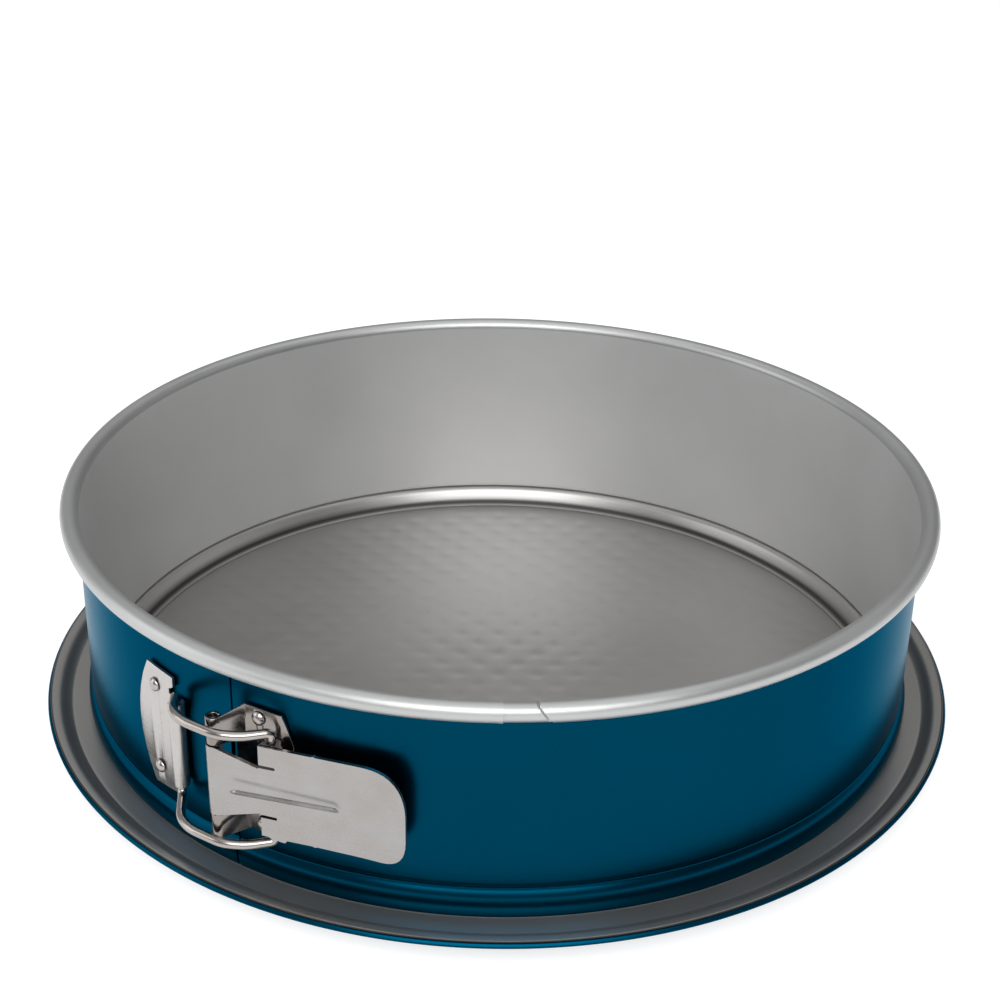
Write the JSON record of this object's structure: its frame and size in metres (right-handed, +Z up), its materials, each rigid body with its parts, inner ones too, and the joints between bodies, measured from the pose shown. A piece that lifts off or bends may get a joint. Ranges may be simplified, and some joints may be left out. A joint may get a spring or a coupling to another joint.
{
  "type": "springform pan",
  "caption": "Round springform cake pan: removable base plate with a drip flange and a tall band closed by an over-centre lever clasp.",
  "frame": {"origin": "centre of the base plate's flat underside, on the table", "axes": "+Z up along the pan's axis; the pictured front is -Y; the clasp stands 32.4 degrees round from the front towards -X"},
  "size_m": [0.2674, 0.2676, 0.07],
  "materials": {
    "base_plate": "grey non-stick coating, satin, faintly speckled",
    "band_back": "dark blue gloss paint outside, grey non-stick coating inside",
    "band_side_right": "dark blue gloss paint outside, grey non-stick coating inside",
    "band_side_left": "dark blue gloss paint outside, grey non-stick coating inside",
    "band_front_right": "dark blue gloss paint outside, grey non-stick coating inside",
    "band_front_left": "dark blue gloss paint outside, grey non-stick coating inside",
    "keeper_plate": "bright plated steel, satin",
    "keeper_rivet_upper": "bright plated steel, satin",
    "keeper_rivet_lower": "bright plated steel, satin",
    "hinge_plate": "bright plated steel, satin",
    "hinge_rivet_upper": "bright plated steel, satin",
    "hinge_rivet_lower": "bright plated steel, satin",
    "hinge_pin": "bright plated steel, satin",
    "lever": "bright plated steel, satin",
    "bail": "bright plated steel, satin"
  },
  "bodies": {
    "base": {"base_plate": "base_plate"},
    "back": {"band_back": "band_back"},
    "side_right": {"band_side_right": "band_side_right"},
    "front_right": {"band_front_right": "band_front_right", "hinge_plate": "hinge_plate", "hinge_rivet_upper": "hinge_rivet_upper", "hinge_rivet_lower": "hinge_rivet_lower", "hinge_pin": "hinge_pin"},
    "side_left": {"band_side_left": "band_side_left"},
    "front_left": {"band_front_left": "band_front_left", "keeper_plate": "keeper_plate", "keeper_rivet_upper": "keeper_rivet_upper", "keeper_rivet_lower": "keeper_rivet_lower"},
    "lever": {"lever": "lever"},
    "bail": {"bail": "bail"}
  },
  "joints": [
    {"name": "band_lift", "type": "slide", "parent": "base", "child": "back", "axis": [0, 0, 1], "range_m": [0, 0.09]},
    {"name": "flex_back_right", "type": "hinge", "parent": "back", "child": "side_right", "pos_m": [0.08855, 0.08143, 0.0374], "axis": [0, 0, 1], "range_deg": [0, 1.61]},
    {"name": "flex_front_right", "type": "hinge", "parent": "side_right", "child": "front_right", "pos_m": [0.02624, -0.1174, 0.0374], "axis": [0, 0, 1], "range_deg": [0, 2.2]},
    {"name": "flex_back_left", "type": "hinge", "parent": "back", "child": "side_left", "pos_m": [0.03598, 0.11479, 0.0374], "axis": [0, 0, -1], "range_deg": [0, 1.61]},
    {"name": "flex_front_left", "type": "hinge", "parent": "side_left", "child": "front_left", "pos_m": [-0.1174, -0.02624, 0.0374], "axis": [0, 0, -1], "range_deg": [0, 2.2]},
    {"name": "lever_pivot", "type": "hinge", "parent": "front_right", "child": "lever", "pos_m": [-0.06837, -0.10774, 0.0374], "axis": [0, 0, -1], "range_deg": [0, 145.18]},
    {"name": "bail_pivot", "type": "hinge", "parent": "front_left", "child": "bail", "pos_m": [-0.07986, -0.09374, 0.0374], "axis": [0, 0, -1], "range_deg": [0, 30.62]}
  ],
  "couplings": [
    {"joint": "flex_back_right", "follows": "lever_pivot", "ratio": 0.011062},
    {"joint": "flex_front_right", "follows": "lever_pivot", "ratio": 0.015112},
    {"joint": "flex_back_left", "follows": "lever_pivot", "ratio": 0.011062},
    {"joint": "flex_front_left", "follows": "lever_pivot", "ratio": 0.015112},
    {"joint": "bail_pivot", "follows": "lever_pivot", "ratio": 0.21083}
  ]
}
